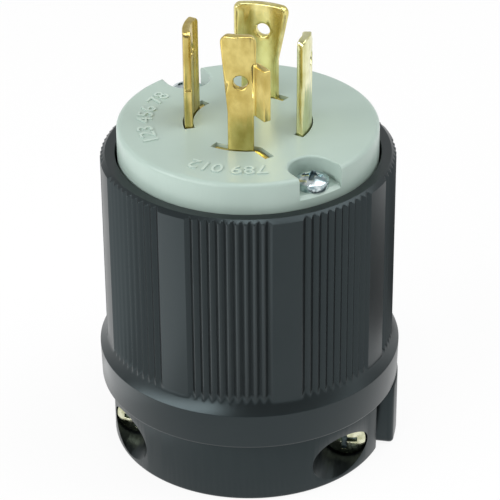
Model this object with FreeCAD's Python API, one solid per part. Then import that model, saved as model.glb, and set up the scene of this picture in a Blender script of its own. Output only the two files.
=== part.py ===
import FreeCAD, Part

import math
import os

os.makedirs("parts", exist_ok=True)

# Locking power plug with four curved brass blades.
# Millimetres and degrees. Z is the plug's axis, pointing out of the blade face.
# The origin is at the middle of the rear face of the cord clamp, on which the plug stands.
# Angles are measured round Z from +X. The front clamp jaw faces -Y.

# Fits and clearances
RUNNING_CLEARANCE = 0.1
SCREW_CLEARANCE = 0.2
CUT_MARGIN = 1.0
EDGE_TOLERANCE = 0.01

# Heights along the axis
JAW_HEIGHT = 10.8
JAW_TOP_CLEARANCE = 0.3
FLANGE_HEIGHT = 6.0
TIP_RISE = 1.7
RUN_OUT_RISE = 1.3
RIM_ABOVE_FLANGE = 33.9
NOSE_PROJECTION = 4.8
NOSE_THICKNESS = 8.8
RETAINER_THICKNESS = 1.4
TERMINAL_HOUSING_HEIGHT = 21.9

# Fluted shell
RIM_WALL_THICKNESS = 2.325
FLUTE_DEPTH = 0.62
RIDGE_DROP = 0.05
FLUTE_PITCH_ANGLE = 3.35
FLUTES_PER_BAY = 10
FLAT_COUNT = 8
FLAT_PHASE_ANGLE = -64.4
RIM_CHAMFER_WIDTH = 0.75
RIM_CHAMFER_HEIGHT = 0.6
FLANGE_OVERHANG = 1.125
FLANGE_DRAFT = 0.15
FLANGE_EDGE_CHAMFER = 0.3
LEDGE_WIDTH = 1.25
SHELL_FLOOR_THICKNESS = 3.5
REAR_OPENING_DIAMETER = 28.4
BOSS_DIAMETER = 6.6

# Nose
NOSE_DIAMETER = 40.6
NOSE_GAP = 0.35
NOSE_EDGE_RADIUS = 0.7
POCKET_DIAMETER = 7.2
POCKET_MOUTH_WIDTH = 7.5
POCKET_DEPTH = 3.1
POCKET_EDGE_BEVEL = 0.5

# Long assembly screws and their inserts
ASSEMBLY_SCREW_ANGLES = (-46.5, 133.5)
ASSEMBLY_SHANK_DIAMETER = 3.0
ASSEMBLY_HEAD_DIAMETER = 5.0
ASSEMBLY_HEAD_HEIGHT = 2.0
INSERT_DIAMETER = 4.8
INSERT_LENGTH = 6.4
INSERT_DEPTH = 0.1

# Blades, rolled to the blade circle
BLADE_CIRCLE_DIAMETER = 19.7
BLADE_THICKNESS = 1.25
LINE_BLADE_LENGTH = 15.8
GROUND_BLADE_LENGTH = 18.9
NOTCH_HEIGHT = 6.2
TIP_BAND_HEIGHT = 1.3
SLANTED_CORNER_HEIGHT = 1.9
BLADE_CORNER_RADIUS = 1.1
BLADE_HOLE_DIAMETER = 2.2
BLADE_HOLE_HEIGHT = 11.4
WING_DEPTH = 0.4
SHOULDER_HEIGHT = 1.5
SHOULDER_ANGLE = 2.0
SLOT_CLEARANCE = 0.18
SLOT_END_ANGLE = 1.2
TAB_HALF_ANGLE = 17.0
TAB_LENGTH = 16.0
HOOK_TURN_ANGLE = 62.0
HOOK_LENGTH = 2.7
HOOK_BOTTOM_HEIGHT = 5.9
HOOK_TOP_HEIGHT = 14.25

# Terminals behind the blades
CHAMBER_WIDTH = 11.0
CHAMBER_INNER_RADIUS = 5.0
TERMINAL_ROOF_THICKNESS = 1.9
TERMINAL_DROP = 8.9
TERMINAL_SHANK_DIAMETER = 3.0
TERMINAL_HEAD_DIAMETER = 6.0
TERMINAL_HEAD_HEIGHT = 1.9
TERMINAL_SHANK_REACH = 1.6
TERMINAL_SLOT_WIDTH = 0.8
TERMINAL_SLOT_DEPTH = 0.8
PLATE_GAP = 0.3
PLATE_THICKNESS = 1.2
PLATE_WIDTH = 8.6
PLATE_HEIGHT = 7.0
PLATE_LIP = 1.0

# Cord clamp
JAW_SETBACK = 1.9
FRONT_JAW_PLANE = 3.8
REAR_JAW_OVERSIZE = 1.0
REAR_JAW_OFFSET = 0.9
REAR_JAW_PLANE = 2.8
JAW_REAR_EDGE_RADIUS = 0.6
JAW_CORNER_RADIUS = 1.0
CORD_BORE_DIAMETER = 16.0
GRIP_GROOVE_DEPTH = 0.6
GRIP_GROOVE_WIDTH = 1.2
GRIP_GROOVE_PITCH = 2.6
GRIP_GROOVE_COUNT = 4
TONGUE_CLEARANCE = 0.5
TONGUE_THICKNESS = 4.0
TONGUE_HALF_ANGLE = 31.0
LIP_OVERHANG = 1.9
LIP_THICKNESS = 2.0
CLAMP_SCREW_INSET = 5.15
CLAMP_SCREW_HEIGHT = 4.55
CLAMP_RECESS_DIAMETER = 7.3
CLAMP_BEARING_WALL = 3.2
CLAMP_HEAD_DIAMETER = 6.7
CLAMP_HEAD_HEIGHT = 2.2
CLAMP_SHANK_DIAMETER = 3.5
CLAMP_SCREW_PROJECTION = 2.1
CLAMP_NUT_WIDTH = 6.8
CLAMP_NUT_THICKNESS = 2.6
CLAMP_NUT_SEAT = 8.0

# Screw heads and drives
HEAD_SIDE_RATIO = 0.6
CROSS_SLOT_WIDTH = 0.8
CROSS_SLOT_DEPTH = 1.0
CROSS_SPAN_RATIO = 0.62

# Levels worked out from the heights
FLANGE_BOTTOM = JAW_HEIGHT + JAW_TOP_CLEARANCE
FLANGE_TOP = FLANGE_BOTTOM + FLANGE_HEIGHT
TIP_LEVEL = FLANGE_TOP + TIP_RISE
RUN_OUT_LEVEL = TIP_LEVEL + RUN_OUT_RISE
RIM_LEVEL = FLANGE_TOP + RIM_ABOVE_FLANGE
FACE_LEVEL = RIM_LEVEL + NOSE_PROJECTION
NOSE_BOTTOM = FACE_LEVEL - NOSE_THICKNESS
RETAINER_TOP = NOSE_BOTTOM - RUNNING_CLEARANCE
RETAINER_BOTTOM = RETAINER_TOP - RETAINER_THICKNESS
LEDGE_LEVEL = RETAINER_BOTTOM - RUNNING_CLEARANCE
TERMINAL_TOP = LEDGE_LEVEL
TERMINAL_BOTTOM = TERMINAL_TOP - TERMINAL_HOUSING_HEIGHT
BOSS_TOP = TERMINAL_BOTTOM - RUNNING_CLEARANCE
FLOOR_TOP = FLANGE_BOTTOM + SHELL_FLOOR_THICKNESS
POCKET_FLOOR = FACE_LEVEL - POCKET_DEPTH
CHAMBER_TOP = TERMINAL_TOP - TERMINAL_ROOF_THICKNESS
TERMINAL_LEVEL = TERMINAL_TOP - TERMINAL_DROP
INSERT_TOP = BOSS_TOP - INSERT_DEPTH
INSERT_BOTTOM = INSERT_TOP - INSERT_LENGTH

# Radii worked outward and inward from the nose
NOSE_RADIUS = NOSE_DIAMETER / 2
NOSE_BORE_RADIUS = NOSE_RADIUS + NOSE_GAP
BARREL_RADIUS = NOSE_BORE_RADIUS + RIM_WALL_THICKNESS
FLANGE_RADIUS = BARREL_RADIUS + FLANGE_OVERHANG
SHELL_BORE_RADIUS = NOSE_BORE_RADIUS - LEDGE_WIDTH
ASSEMBLY_CIRCLE_RADIUS = SHELL_BORE_RADIUS - ASSEMBLY_SHANK_DIAMETER / 2 - RUNNING_CLEARANCE
BLADE_OUTER_RADIUS = BLADE_CIRCLE_DIAMETER / 2
BLADE_INNER_RADIUS = BLADE_OUTER_RADIUS - BLADE_THICKNESS

# Radii and places in the cord clamp
REAR_OPENING_RADIUS = REAR_OPENING_DIAMETER / 2
TONGUE_RADIUS = REAR_OPENING_RADIUS - TONGUE_CLEARANCE
FRONT_JAW_RADIUS = FLANGE_RADIUS - JAW_SETBACK
REAR_JAW_RADIUS = FRONT_JAW_RADIUS + REAR_JAW_OVERSIZE
CLAMP_SCREW_X = FRONT_JAW_RADIUS - CLAMP_SCREW_INSET
CLAMP_SEAT_Y = -FRONT_JAW_PLANE - CLAMP_BEARING_WALL
CLAMP_NUT_END_Y = CLAMP_NUT_SEAT + RUNNING_CLEARANCE + CLAMP_NUT_THICKNESS

# Each blade: the slot and foot, the neck above the face, the head and its tip, as pairs of angles.
# The tip has rounded corners, and where it is shorter than the head, its far corner is slanted.
BLADES = {
    "line_blade_left": {
        "foot": (147.6, 205.0), "neck": (161.0, 204.0), "head_base": (161.0, 203.0),
        "head": (161.0, 203.0), "tip": (161.0, 203.0), "hole": 183.0, "centre": 182.5,
    },
    "line_blade_right": {
        "foot": (-21.4, 35.0), "neck": (-20.3, 22.7), "head_base": (-20.3, 26.0),
        "head": (-20.3, 26.0), "tip": (-20.3, 2.0), "hole": 1.0, "centre": 3.0,
    },
    "neutral_blade": {
        "foot": (62.3, 115.0), "neck": (70.7, 107.0), "head_base": (70.7, 113.4),
        "head": (59.8, 113.4), "tip": (59.8, 113.4), "hole": 84.8, "centre": 88.0,
    },
    "ground_blade": {
        "foot": (-112.5, -73.5), "neck": (-97.3, -73.5), "head_base": (-97.3, -72.0),
        "head": (-103.6, -71.0), "tip": (-103.6, -71.0), "hole": -85.5, "centre": -88.0,
    },
}


def vec(x, y, z=0.0):
    return FreeCAD.Vector(x, y, z)


def polar(radius, angle, z=0.0):
    turn = math.radians(angle)
    return vec(radius * math.cos(turn), radius * math.sin(turn), z)


def cylinder(radius, bottom, top, x=0.0, y=0.0):
    return Part.makeCylinder(radius, top - bottom, vec(x, y, bottom))


def tube(outer, inner, bottom, top):
    return cylinder(outer, bottom, top).cut(cylinder(inner, bottom - CUT_MARGIN, top + CUT_MARGIN))


def closed_wire(edges):
    return Part.Wire(Part.__sortEdges__(edges))


def revolve_outline(edges):
    face = Part.Face(closed_wire(edges))
    return face.revolve(vec(0, 0), vec(0, 0, 1), 360)


def chain(points):
    return [Part.makeLine(a, b) for a, b in zip(points, points[1:])]


def turned(shape, angle):
    return shape.rotated(vec(0, 0), vec(0, 0, 1), angle)


def radial_cylinder(radius, start, end, angle, z):
    rod = Part.makeCylinder(radius, end - start, vec(start, 0, z), vec(1, 0, 0))
    return turned(rod, angle)


def sector_wire(inner, outer, first, last, z):
    middle = (first + last) / 2
    outer_arc = Part.Arc(polar(outer, first, z), polar(outer, middle, z), polar(outer, last, z))
    inner_arc = Part.Arc(polar(inner, last, z), polar(inner, middle, z), polar(inner, first, z))
    return Part.Wire([
        outer_arc.toShape(),
        Part.makeLine(polar(outer, last, z), polar(inner, last, z)),
        inner_arc.toShape(),
        Part.makeLine(polar(inner, first, z), polar(outer, first, z)),
    ])


def sector(inner, outer, angles, bottom, top):
    wire = sector_wire(inner, outer, angles[0], angles[1], bottom)
    return Part.Face(wire).extrude(vec(0, 0, top - bottom))


def tapered_sector(inner, outer, lower_angles, upper_angles, bottom, top):
    lower = sector_wire(inner, outer, lower_angles[0], lower_angles[1], bottom)
    upper = sector_wire(inner, outer, upper_angles[0], upper_angles[1], top)
    return Part.makeLoft([lower, upper], True, True)


def widened(angles, amount):
    return (angles[0] - amount, angles[1] + amount)


def hexagon(width, bottom, top):
    corner = width / math.sqrt(3)
    points = [polar(corner, 60 * i, bottom) for i in range(7)]
    return Part.Face(Part.Wire(chain(points))).extrude(vec(0, 0, top - bottom))


def save(name, shape):
    solids = shape.Solids
    print(name, "solids", len(solids), "valid", shape.isValid(), "volume", round(shape.Volume, 1))
    shape = solids[0] if len(solids) == 1 else shape
    shape.exportStep(os.path.join("parts", name + ".step"))


# Shell with fluted barrel, flared foot and flange
def flute(angle):
    root = BARREL_RADIUS - FLUTE_DEPTH
    half_pitch = FLUTE_PITCH_ANGLE / 2
    crest_depth = FLUTE_DEPTH - RIDGE_DROP
    reach = 2 * FLUTE_DEPTH
    spread = half_pitch * reach / crest_depth
    bottom = TIP_LEVEL - TIP_RISE / 2
    points = [
        polar(root, 0, bottom),
        polar(root + reach, -spread, bottom),
        polar(root + reach, spread, bottom),
        polar(root, 0, bottom),
    ]
    groove = Part.Face(Part.Wire(chain(points)))
    return turned(groove.extrude(vec(0, 0, RIM_LEVEL + CUT_MARGIN - bottom)), angle)


def flute_angles():
    bay = 360 / FLAT_COUNT
    angles = []
    for flat in range(FLAT_COUNT):
        bay_centre = FLAT_PHASE_ANGLE + bay * (flat + 0.5)
        first = bay_centre - FLUTE_PITCH_ANGLE * (FLUTES_PER_BAY - 1) / 2
        angles += [first + FLUTE_PITCH_ANGLE * i for i in range(FLUTES_PER_BAY)]
    return angles


def fluted_barrel():
    bottom = TIP_LEVEL - TIP_RISE / 2
    barrel = revolve_outline(chain([
        vec(NOSE_BORE_RADIUS, 0, bottom),
        vec(BARREL_RADIUS, 0, bottom),
        vec(BARREL_RADIUS, 0, RIM_LEVEL - RIM_CHAMFER_HEIGHT),
        vec(BARREL_RADIUS - RIM_CHAMFER_WIDTH, 0, RIM_LEVEL),
        vec(NOSE_BORE_RADIUS, 0, RIM_LEVEL),
        vec(NOSE_BORE_RADIUS, 0, bottom),
    ]))
    return barrel.cut(Part.makeCompound([flute(angle) for angle in flute_angles()]))


def flared_foot():
    root = BARREL_RADIUS - FLUTE_DEPTH
    run_out = vec(root, 0, RUN_OUT_LEVEL)
    tip = vec(BARREL_RADIUS, 0, TIP_LEVEL)
    edge = vec(FLANGE_RADIUS, 0, FLANGE_TOP)
    lower_radius = FLANGE_RADIUS - FLANGE_DRAFT
    flare = Part.Arc(run_out, tip, edge).toShape()
    outline = chain([
        edge,
        vec(lower_radius, 0, FLANGE_BOTTOM + FLANGE_EDGE_CHAMFER),
        vec(lower_radius - FLANGE_EDGE_CHAMFER, 0, FLANGE_BOTTOM),
        vec(REAR_OPENING_RADIUS, 0, FLANGE_BOTTOM),
        vec(REAR_OPENING_RADIUS, 0, FLOOR_TOP),
        vec(SHELL_BORE_RADIUS, 0, FLOOR_TOP),
        vec(SHELL_BORE_RADIUS, 0, RUN_OUT_LEVEL),
        run_out,
    ])
    return revolve_outline([flare] + outline)


def boss(angle):
    centre = polar(ASSEMBLY_CIRCLE_RADIUS, angle)
    post = cylinder(BOSS_DIAMETER / 2, FLOOR_TOP, BOSS_TOP, centre.x, centre.y)
    pocket = cylinder(INSERT_DIAMETER / 2, INSERT_BOTTOM, BOSS_TOP + CUT_MARGIN, centre.x, centre.y)
    return post, pocket


def body_shell():
    liner = tube(NOSE_BORE_RADIUS, SHELL_BORE_RADIUS, RUN_OUT_LEVEL - CUT_MARGIN, LEDGE_LEVEL)
    shell = fluted_barrel().fuse([flared_foot(), liner])
    posts = [boss(angle) for angle in ASSEMBLY_SCREW_ANGLES]
    within = cylinder(SHELL_BORE_RADIUS + CUT_MARGIN, FLOOR_TOP, BOSS_TOP)
    shell = shell.fuse([post.common(within) for post, pocket in posts])
    shell = shell.cut(Part.makeCompound([pocket for post, pocket in posts]))
    return shell.removeSplitter()


# Grey nose with blade slots and two screw pockets in its rim
def blade_slot(blade, bottom, top, extra=0.0):
    inner = BLADE_INNER_RADIUS - SLOT_CLEARANCE
    outer = BLADE_OUTER_RADIUS + SLOT_CLEARANCE
    return sector(inner, outer, widened(blade["foot"], SLOT_END_ANGLE + extra), bottom, top)


def hook(start_angle, bottom, top, clearance=0.0):
    outer_corner = polar(BLADE_OUTER_RADIUS + clearance, start_angle, bottom)
    thickness = BLADE_THICKNESS + 2 * clearance
    inward = start_angle + 180
    turn_end = inward - HOOK_TURN_ANGLE
    leg = polar(HOOK_LENGTH + clearance, start_angle + 90 - HOOK_TURN_ANGLE)
    inner_corner = outer_corner + polar(thickness, inward)
    bend_middle = outer_corner + polar(thickness, inward - HOOK_TURN_ANGLE / 2)
    bend_end = outer_corner + polar(thickness, turn_end)
    outline = [Part.Arc(inner_corner, bend_middle, bend_end).toShape()]
    outline += chain([bend_end, bend_end + leg, outer_corner + leg, outer_corner, inner_corner])
    return Part.Face(Part.Wire(outline)).extrude(vec(0, 0, top - bottom))


def screw_pocket(angle):
    # A round pocket with a mouth that widens to the nose's side, and a bevelled sill there.
    centre = ASSEMBLY_CIRCLE_RADIUS
    top = FACE_LEVEL + CUT_MARGIN
    radius = POCKET_DIAMETER / 2
    round_part = cylinder(radius, POCKET_FLOOR, top, centre)
    side = NOSE_RADIUS + CUT_MARGIN
    half_mouth = radius + (POCKET_MOUTH_WIDTH / 2 - radius) * (side - centre) / (NOSE_RADIUS - centre)
    sill_bottom = POCKET_FLOOR - POCKET_EDGE_BEVEL - CUT_MARGIN
    mouth_outline = chain([
        vec(centre, -radius, sill_bottom),
        vec(side, -half_mouth, sill_bottom),
        vec(side, half_mouth, sill_bottom),
        vec(centre, radius, sill_bottom),
        vec(centre, -radius, sill_bottom),
    ])
    mouth = Part.Face(Part.Wire(mouth_outline)).extrude(vec(0, 0, top - sill_bottom))
    above_sill = revolve_outline(chain([
        vec(0, 0, POCKET_FLOOR),
        vec(NOSE_RADIUS - POCKET_EDGE_BEVEL, 0, POCKET_FLOOR),
        vec(side, 0, sill_bottom),
        vec(side + CUT_MARGIN, 0, sill_bottom),
        vec(side + CUT_MARGIN, 0, top),
        vec(0, 0, top),
        vec(0, 0, POCKET_FLOOR),
    ]))
    hole = cylinder(ASSEMBLY_SHANK_DIAMETER / 2 + SCREW_CLEARANCE, NOSE_BOTTOM - CUT_MARGIN, top, centre)
    return turned(round_part.fuse([mouth.common(above_sill), hole]), angle)


def nose_cap():
    disc = cylinder(NOSE_RADIUS, NOSE_BOTTOM, FACE_LEVEL)
    face_edges = [e for e in disc.Edges if abs(e.BoundBox.ZMin - FACE_LEVEL) < EDGE_TOLERANCE]
    disc = disc.makeFillet(NOSE_EDGE_RADIUS, face_edges)
    cutters = [screw_pocket(angle) for angle in ASSEMBLY_SCREW_ANGLES]
    for blade in BLADES.values():
        cutters.append(blade_slot(blade, NOSE_BOTTOM - CUT_MARGIN, FACE_LEVEL + CUT_MARGIN))
        shoulder_room = NOSE_BOTTOM + SHOULDER_HEIGHT + RUNNING_CLEARANCE
        cutters.append(blade_slot(blade, NOSE_BOTTOM - CUT_MARGIN, shoulder_room, SHOULDER_ANGLE))
    ground_end = BLADES["ground_blade"]["foot"][1]
    cutters.append(hook(ground_end, NOSE_BOTTOM - CUT_MARGIN, FACE_LEVEL + CUT_MARGIN, SLOT_CLEARANCE))
    return disc.cut(cutters).removeSplitter()


# Blades, each one rolled brass strip with foot, notched neck, head and terminal tab
def blade_body(name, blade):
    length = GROUND_BLADE_LENGTH if name == "ground_blade" else LINE_BLADE_LENGTH
    tip_level = FACE_LEVEL + length
    notch = FACE_LEVEL + NOTCH_HEIGHT
    slanted = blade["tip"] != blade["head"]
    taper_end = tip_level - (SLANTED_CORNER_HEIGHT if slanted else TIP_BAND_HEIGHT)
    wing_top = FACE_LEVEL - WING_DEPTH
    inner = BLADE_INNER_RADIUS
    outer = BLADE_OUTER_RADIUS
    tab_angles = widened((blade["centre"], blade["centre"]), TAB_HALF_ANGLE)
    shoulder_top = NOSE_BOTTOM + SHOULDER_HEIGHT
    pieces = [
        sector(inner, outer, tab_angles, NOSE_BOTTOM - TAB_LENGTH, shoulder_top),
        sector(inner, outer, widened(blade["foot"], SHOULDER_ANGLE), NOSE_BOTTOM, shoulder_top),
        sector(inner, outer, blade["foot"], NOSE_BOTTOM, wing_top),
        sector(inner, outer, blade["neck"], NOSE_BOTTOM, notch),
        tapered_sector(inner, outer, blade["head_base"], blade["head"], notch, taper_end),
        tapered_sector(inner, outer, blade["head"], blade["tip"], taper_end, tip_level),
    ]
    if name == "ground_blade":
        foot_end = blade["foot"][1]
        pieces.append(hook(foot_end, NOSE_BOTTOM + SHOULDER_HEIGHT, wing_top))
        pieces.append(hook(foot_end, FACE_LEVEL + HOOK_BOTTOM_HEIGHT, FACE_LEVEL + HOOK_TOP_HEIGHT))
    body = pieces[0].fuse(pieces[1:]).removeSplitter()
    corners = [
        e for e in body.Edges
        if e.BoundBox.ZMin > tip_level - EDGE_TOLERANCE
        and e.BoundBox.ZLength < EDGE_TOLERANCE
        and abs(e.Length - BLADE_THICKNESS) < EDGE_TOLERANCE
    ]
    return body.makeFillet(BLADE_CORNER_RADIUS, corners)


def blade_with_holes(name, blade):
    body = blade_body(name, blade)
    reach = BLADE_OUTER_RADIUS + CUT_MARGIN
    start = BLADE_INNER_RADIUS - CUT_MARGIN
    tip_hole = radial_cylinder(
        BLADE_HOLE_DIAMETER / 2, start, reach, blade["hole"], FACE_LEVEL + BLADE_HOLE_HEIGHT)
    screw_hole_radius = TERMINAL_SHANK_DIAMETER / 2 + RUNNING_CLEARANCE
    screw_hole = radial_cylinder(screw_hole_radius, start, reach, blade["centre"], TERMINAL_LEVEL)
    return body.cut([tip_hole, screw_hole])


# Insulating plate under the nose, on which the blade shoulders stand
def retainer_plate():
    plate = cylinder(NOSE_RADIUS, RETAINER_BOTTOM, RETAINER_TOP)
    cutters = []
    for blade in BLADES.values():
        tab_angles = widened((blade["centre"], blade["centre"]), TAB_HALF_ANGLE + SLOT_END_ANGLE)
        inner = BLADE_INNER_RADIUS - SLOT_CLEARANCE
        outer = BLADE_OUTER_RADIUS + SLOT_CLEARANCE
        cutters.append(sector(inner, outer, tab_angles, RETAINER_BOTTOM - CUT_MARGIN, NOSE_BOTTOM))
    for angle in ASSEMBLY_SCREW_ANGLES:
        centre = polar(ASSEMBLY_CIRCLE_RADIUS, angle)
        hole_radius = ASSEMBLY_SHANK_DIAMETER / 2 + SCREW_CLEARANCE
        cutters.append(cylinder(hole_radius, RETAINER_BOTTOM - CUT_MARGIN, NOSE_BOTTOM, centre.x, centre.y))
    return plate.cut(cutters)


# Core with one wire chamber behind each blade
def terminal_housing():
    radius = SHELL_BORE_RADIUS - SCREW_CLEARANCE
    core = cylinder(radius, TERMINAL_BOTTOM, TERMINAL_TOP - RUNNING_CLEARANCE)
    cutters = []
    for blade in BLADES.values():
        corner = vec(CHAMBER_INNER_RADIUS, -CHAMBER_WIDTH / 2, TERMINAL_BOTTOM - CUT_MARGIN)
        height = CHAMBER_TOP - TERMINAL_BOTTOM + CUT_MARGIN
        cutters.append(turned(Part.makeBox(radius, CHAMBER_WIDTH, height, corner), blade["centre"]))
        tab_angles = widened((blade["centre"], blade["centre"]), TAB_HALF_ANGLE + SLOT_END_ANGLE)
        inner = BLADE_INNER_RADIUS - SLOT_CLEARANCE
        outer = BLADE_OUTER_RADIUS + SLOT_CLEARANCE
        cutters.append(sector(inner, outer, tab_angles, TERMINAL_LEVEL, TERMINAL_TOP + CUT_MARGIN))
    groove_radius = ASSEMBLY_SHANK_DIAMETER / 2 + SCREW_CLEARANCE
    for angle in ASSEMBLY_SCREW_ANGLES:
        low = TERMINAL_BOTTOM - CUT_MARGIN
        high = TERMINAL_TOP + CUT_MARGIN
        groove = cylinder(groove_radius, low, high, ASSEMBLY_CIRCLE_RADIUS)
        corner = vec(ASSEMBLY_CIRCLE_RADIUS, -groove_radius, low)
        groove = groove.fuse(Part.makeBox(radius, 2 * groove_radius, high - low, corner))
        cutters.append(turned(groove, angle))
    return core.cut(cutters).removeSplitter()


# Screws with their heads at the positive end of the local Z axis
def cross_recess(head_diameter, top):
    span = head_diameter * CROSS_SPAN_RATIO
    corner = vec(-span / 2, -CROSS_SLOT_WIDTH / 2, top - CROSS_SLOT_DEPTH)
    bar = Part.makeBox(span, CROSS_SLOT_WIDTH, CROSS_SLOT_DEPTH + CUT_MARGIN, corner)
    return bar.fuse(bar.rotated(vec(0, 0), vec(0, 0, 1), 90))


def screw(head_diameter, head_height, shank_diameter, shank_length):
    # The head stands on the XY plane, with a low domed top, and the shank hangs below it.
    radius = head_diameter / 2
    side = head_height * HEAD_SIDE_RATIO
    rise = head_height - side
    dome_radius = (radius ** 2 + rise ** 2) / (2 * rise)
    middle = radius / 2
    middle_height = head_height - dome_radius + math.sqrt(dome_radius ** 2 - middle ** 2)
    crown = Part.Arc(vec(radius, 0, side), vec(middle, 0, middle_height), vec(0, 0, head_height))
    outline = chain([
        vec(0, 0, head_height),
        vec(0, 0, -shank_length),
        vec(shank_diameter / 2, 0, -shank_length),
        vec(shank_diameter / 2, 0, 0),
        vec(radius, 0, 0),
        vec(radius, 0, side),
    ])
    return revolve_outline([crown.toShape()] + outline)


def assembly_screw(angle):
    shank = POCKET_FLOOR - INSERT_BOTTOM - RUNNING_CLEARANCE
    part = screw(ASSEMBLY_HEAD_DIAMETER, ASSEMBLY_HEAD_HEIGHT, ASSEMBLY_SHANK_DIAMETER, shank)
    part = part.cut(cross_recess(ASSEMBLY_HEAD_DIAMETER, ASSEMBLY_HEAD_HEIGHT))
    part.translate(polar(ASSEMBLY_CIRCLE_RADIUS, angle, POCKET_FLOOR))
    return part


def threaded_insert(angle):
    centre = polar(ASSEMBLY_CIRCLE_RADIUS, angle)
    sleeve = cylinder(INSERT_DIAMETER / 2, INSERT_BOTTOM, INSERT_TOP, centre.x, centre.y)
    bore_radius = ASSEMBLY_SHANK_DIAMETER / 2 + RUNNING_CLEARANCE / 2
    low = INSERT_BOTTOM - CUT_MARGIN
    return sleeve.cut(cylinder(bore_radius, low, INSERT_TOP + CUT_MARGIN, centre.x, centre.y))


def placed_radially(shape, seat_radius, angle, z):
    # The local Z axis is laid along the outward radius.
    part = shape.rotated(vec(0, 0), vec(0, 1, 0), 90)
    part.translate(vec(seat_radius, 0, z))
    return turned(part, angle)


def terminal_screw(angle):
    seat = BLADE_OUTER_RADIUS + PLATE_GAP + PLATE_THICKNESS
    shank = seat - BLADE_INNER_RADIUS + TERMINAL_SHANK_REACH
    head = cylinder(TERMINAL_HEAD_DIAMETER / 2, 0, TERMINAL_HEAD_HEIGHT)
    part = head.fuse(cylinder(TERMINAL_SHANK_DIAMETER / 2, -shank, 0)).removeSplitter()
    slot_corner = vec(
        -TERMINAL_HEAD_DIAMETER, -TERMINAL_SLOT_WIDTH / 2, TERMINAL_HEAD_HEIGHT - TERMINAL_SLOT_DEPTH)
    slot = Part.makeBox(2 * TERMINAL_HEAD_DIAMETER, TERMINAL_SLOT_WIDTH, TERMINAL_HEAD_HEIGHT, slot_corner)
    return placed_radially(part.cut(slot), seat, angle, TERMINAL_LEVEL)


def pressure_plate(angle):
    lip_corner = vec(-PLATE_HEIGHT / 2, -PLATE_WIDTH / 2, -PLATE_LIP)
    plate = Part.makeBox(PLATE_HEIGHT, PLATE_WIDTH, PLATE_THICKNESS + PLATE_LIP, lip_corner)
    tab_half_width = BLADE_OUTER_RADIUS * math.sin(math.radians(TAB_HALF_ANGLE))
    channel_width = 2 * (tab_half_width + SCREW_CLEARANCE)
    channel_corner = vec(-PLATE_HEIGHT, -channel_width / 2, -PLATE_LIP - CUT_MARGIN)
    channel = Part.makeBox(2 * PLATE_HEIGHT, channel_width, PLATE_LIP + CUT_MARGIN, channel_corner)
    hole = cylinder(
        TERMINAL_SHANK_DIAMETER / 2 + RUNNING_CLEARANCE, -PLATE_LIP - CUT_MARGIN,
        PLATE_THICKNESS + CUT_MARGIN)
    part = plate.cut([channel, hole])
    return placed_radially(part, BLADE_OUTER_RADIUS + PLATE_GAP, angle, TERMINAL_LEVEL)


# Cord clamp: two jaws hooked into the rear opening and drawn together by two screws
def rounded_block(block, plane):
    rear = [
        e for e in block.Edges
        if e.BoundBox.ZMax < EDGE_TOLERANCE and e.Curve.TypeId == "Part::GeomCircle"
    ]
    block = block.makeFillet(JAW_REAR_EDGE_RADIUS, rear)
    upright = [
        e for e in block.Edges
        if e.BoundBox.ZLength > JAW_HEIGHT / 2
        and abs(e.BoundBox.YMin - plane) < EDGE_TOLERANCE
        and e.BoundBox.YLength < EDGE_TOLERANCE
    ]
    return block.makeFillet(JAW_CORNER_RADIUS, upright)


def front_block():
    reach = 2 * FRONT_JAW_RADIUS
    corner = vec(-reach, -FRONT_JAW_PLANE - reach, -CUT_MARGIN)
    side = Part.makeBox(2 * reach, reach, JAW_HEIGHT + 2 * CUT_MARGIN, corner)
    return cylinder(FRONT_JAW_RADIUS, 0, JAW_HEIGHT).common(side)


def rear_block():
    left = REAR_JAW_OFFSET - REAR_JAW_RADIUS
    right = REAR_JAW_OFFSET + REAR_JAW_RADIUS
    back = Part.Arc(vec(right, 0), vec(REAR_JAW_OFFSET, REAR_JAW_RADIUS), vec(left, 0)).toShape()
    sides = chain([
        vec(left, 0),
        vec(left, -REAR_JAW_PLANE),
        vec(right, -REAR_JAW_PLANE),
        vec(right, 0),
    ])
    return Part.Face(Part.Wire([back] + sides)).extrude(vec(0, 0, JAW_HEIGHT))


def tongue(centre_angle):
    angles = widened((centre_angle, centre_angle), TONGUE_HALF_ANGLE)
    inner = TONGUE_RADIUS - TONGUE_THICKNESS
    lip_bottom = FLOOR_TOP + RUNNING_CLEARANCE
    lip_radius = REAR_OPENING_RADIUS + LIP_OVERHANG
    neck = sector(inner, TONGUE_RADIUS, angles, JAW_HEIGHT - CUT_MARGIN, lip_bottom)
    lip = sector(inner, lip_radius, angles, lip_bottom, lip_bottom + LIP_THICKNESS)
    return neck.fuse(lip)


def cord_bore():
    radius = CORD_BORE_DIAMETER / 2
    bore = cylinder(radius, -CUT_MARGIN, JAW_HEIGHT + CUT_MARGIN)
    middle = JAW_HEIGHT / 2
    first = middle - GRIP_GROOVE_PITCH * (GRIP_GROOVE_COUNT - 1) / 2
    grooves = []
    for i in range(GRIP_GROOVE_COUNT):
        level = first + GRIP_GROOVE_PITCH * i
        bottom = level - GRIP_GROOVE_WIDTH / 2
        grooves.append(cylinder(radius + GRIP_GROOVE_DEPTH, bottom, bottom + GRIP_GROOVE_WIDTH))
    return bore.fuse(grooves)


def along_y(shape, x, y, z):
    # The local Z axis is laid along -Y.
    part = shape.rotated(vec(0, 0), vec(1, 0, 0), 90)
    part.translate(vec(x, y, z))
    return part


def clamp_hole(x):
    radius = CLAMP_SHANK_DIAMETER / 2 + SCREW_CLEARANCE
    length = 2 * REAR_JAW_RADIUS + 2 * CUT_MARGIN
    return Part.makeCylinder(radius, length, vec(x, -length / 2, CLAMP_SCREW_HEIGHT), vec(0, 1, 0))


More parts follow.
